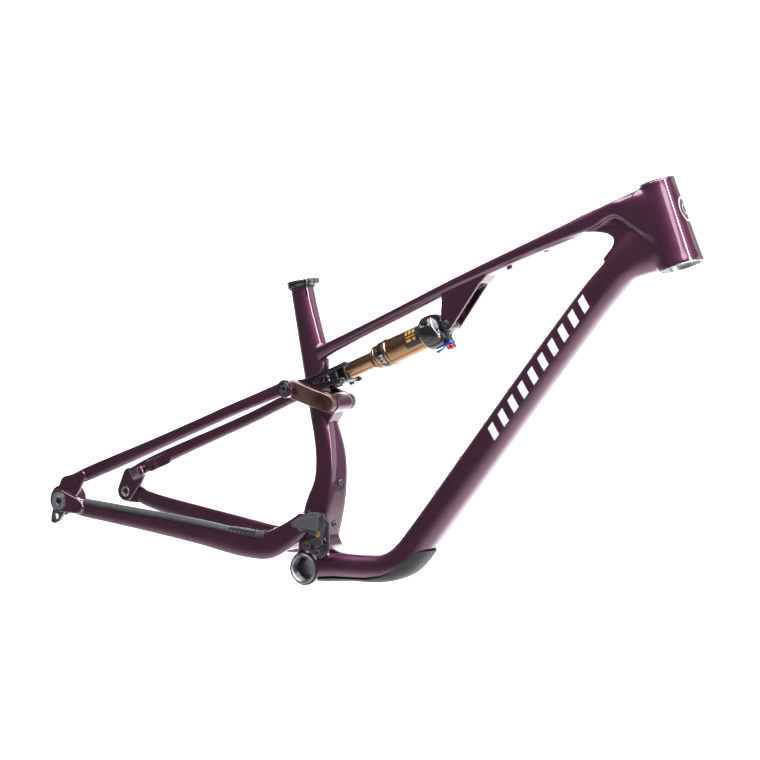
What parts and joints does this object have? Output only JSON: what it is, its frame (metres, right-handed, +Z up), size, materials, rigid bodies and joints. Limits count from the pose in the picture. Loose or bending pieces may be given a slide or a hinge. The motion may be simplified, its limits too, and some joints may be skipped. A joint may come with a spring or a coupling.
{
  "type": "bicycle frame",
  "caption": "Full-suspension mountain-bike frame with swinging rear triangle, rocker link and air shock, carried by its bottom bracket bore.",
  "frame": {"origin": "centre of the bottom bracket bore, midway between its faces", "axes": "+X forward along the frame, +Y to the rider's left along the bottom bracket's axis, +Z up; the chain side is -Y"},
  "size_m": [1.0295, 0.178, 0.6531],
  "materials": {
    "plum_paint": "gloss metallic",
    "machined_alloy": "machined",
    "black_anodised": "satin",
    "brown_anodised": "satin",
    "steel_fixings": "blackened",
    "bearing_steel": "ground",
    "grey_rubber": "satin",
    "black_rubber": "matt",
    "black_plastic": "satin",
    "brass_bolt": "polished",
    "gloss_black": "gloss",
    "gold_anodised": "satin metallic",
    "blue_anodised": "gloss",
    "red_anodised": "gloss"
  },
  "bodies": {
    "front_frame": {"front_triangle": "plum_paint", "headset_seat_upper": "machined_alloy", "headset_seat_lower": "machined_alloy", "bottom_bracket_sleeve": "machined_alloy", "seat_collar": "black_anodised", "seat_collar_bolt": "steel_fixings", "bottle_bolts": "steel_fixings", "top_tube_bolts": "steel_fixings", "down_tube_protector": "grey_rubber", "main_pivot_bearings": "bearing_steel", "rocker_pivot_bearings": "bearing_steel", "shock_mount_bolt": "steel_fixings", "chain_guide_backplate": "black_plastic", "chain_guide_cage": "black_plastic", "chain_guide_bolts": "steel_fixings", "chain_guide_cage_bolt": "brass_bolt"},
    "chainstay_body": {"chainstay": "plum_paint", "main_pivot_axle": "machined_alloy", "main_pivot_caps": "black_anodised", "dropout_bearings": "bearing_steel", "chainstay_protector": "grey_rubber", "derailleur_hanger": "black_anodised"},
    "seatstay_body": {"seatstay_right": "plum_paint", "seatstay_left": "plum_paint", "dropout_sleeve_right": "machined_alloy", "dropout_sleeve_left": "machined_alloy", "seatstay_pivot_bolts": "black_anodised"},
    "rocker_body": {"rocker_arm_right": "brown_anodised", "rocker_arm_left": "brown_anodised", "rocker_axle": "machined_alloy", "stay_pivot_bearings": "bearing_steel"},
    "shock_body": {"shock_head": "gloss_black", "shock_eye_bushing": "machined_alloy", "shock_air_can": "gold_anodised", "shock_band": "black_anodised", "shock_seal_head": "gold_anodised", "shock_valve_cap": "black_plastic", "shock_o_ring": "black_rubber"},
    "shock_shaft_body": {"shock_shaft": "gold_anodised", "shock_piston": "machined_alloy", "shock_yoke": "black_anodised", "yoke_bolts": "steel_fixings", "yoke_eye_bushings": "machined_alloy"},
    "lockout_lever_body": {"lockout_lever": "blue_anodised"},
    "rebound_knob_body": {"rebound_knob": "red_anodised"}
  },
  "joints": [
    {"name": "chainstay_swing", "type": "hinge", "parent": "front_frame", "child": "chainstay_body", "pos_m": [-0.004, 0, 0.068], "axis": [0, 1, 0], "range_deg": [0, 12.73], "stiffness_Nm_per_rad": 400, "springref_deg": -3.44},
    {"name": "rocker_swing", "type": "hinge", "parent": "front_frame", "child": "rocker_body", "pos_m": [0.0145, 0, 0.2495], "axis": [0, 1, 0], "range_deg": [0, 46.95]},
    {"name": "seatstay_turn", "type": "hinge", "parent": "chainstay_body", "child": "seatstay_body", "pos_m": [-0.435, 0, 0.036], "axis": [0, 1, 0], "range_deg": [-5.29, 0]},
    {"name": "shock_pivot", "type": "hinge", "parent": "front_frame", "child": "shock_body", "pos_m": [0.198, 0, 0.3885], "axis": [0, 1, 0], "range_deg": [0, 5.91]},
    {"name": "shock_stroke", "type": "slide", "parent": "shock_body", "child": "shock_shaft_body", "axis": [0.8813, 0, 0.4726], "range_m": [0, 0.04533]},
    {"name": "lockout_lever_turn", "type": "hinge", "parent": "shock_body", "child": "lockout_lever_body", "pos_m": [0.1758, 0, 0.40451], "axis": [0.4726, 0, -0.8813], "range_deg": [0, 90]},
    {"name": "rebound_knob_turn", "type": "hinge", "parent": "shock_body", "child": "rebound_knob_body", "pos_m": [0.17325, 0, 0.40927], "axis": [0.4726, 0, -0.8813], "range_deg": [-270, 270]}
  ],
  "couplings": [
    {"joint": "rocker_swing", "follows": "chainstay_swing", "ratio": 3.6635},
    {"joint": "seatstay_turn", "follows": "chainstay_swing", "ratio": -0.3993},
    {"joint": "shock_pivot", "follows": "chainstay_swing", "ratio": 0.4483},
    {"joint": "shock_stroke", "follows": "chainstay_swing", "m_per_rad": 0.20263}
  ]
}
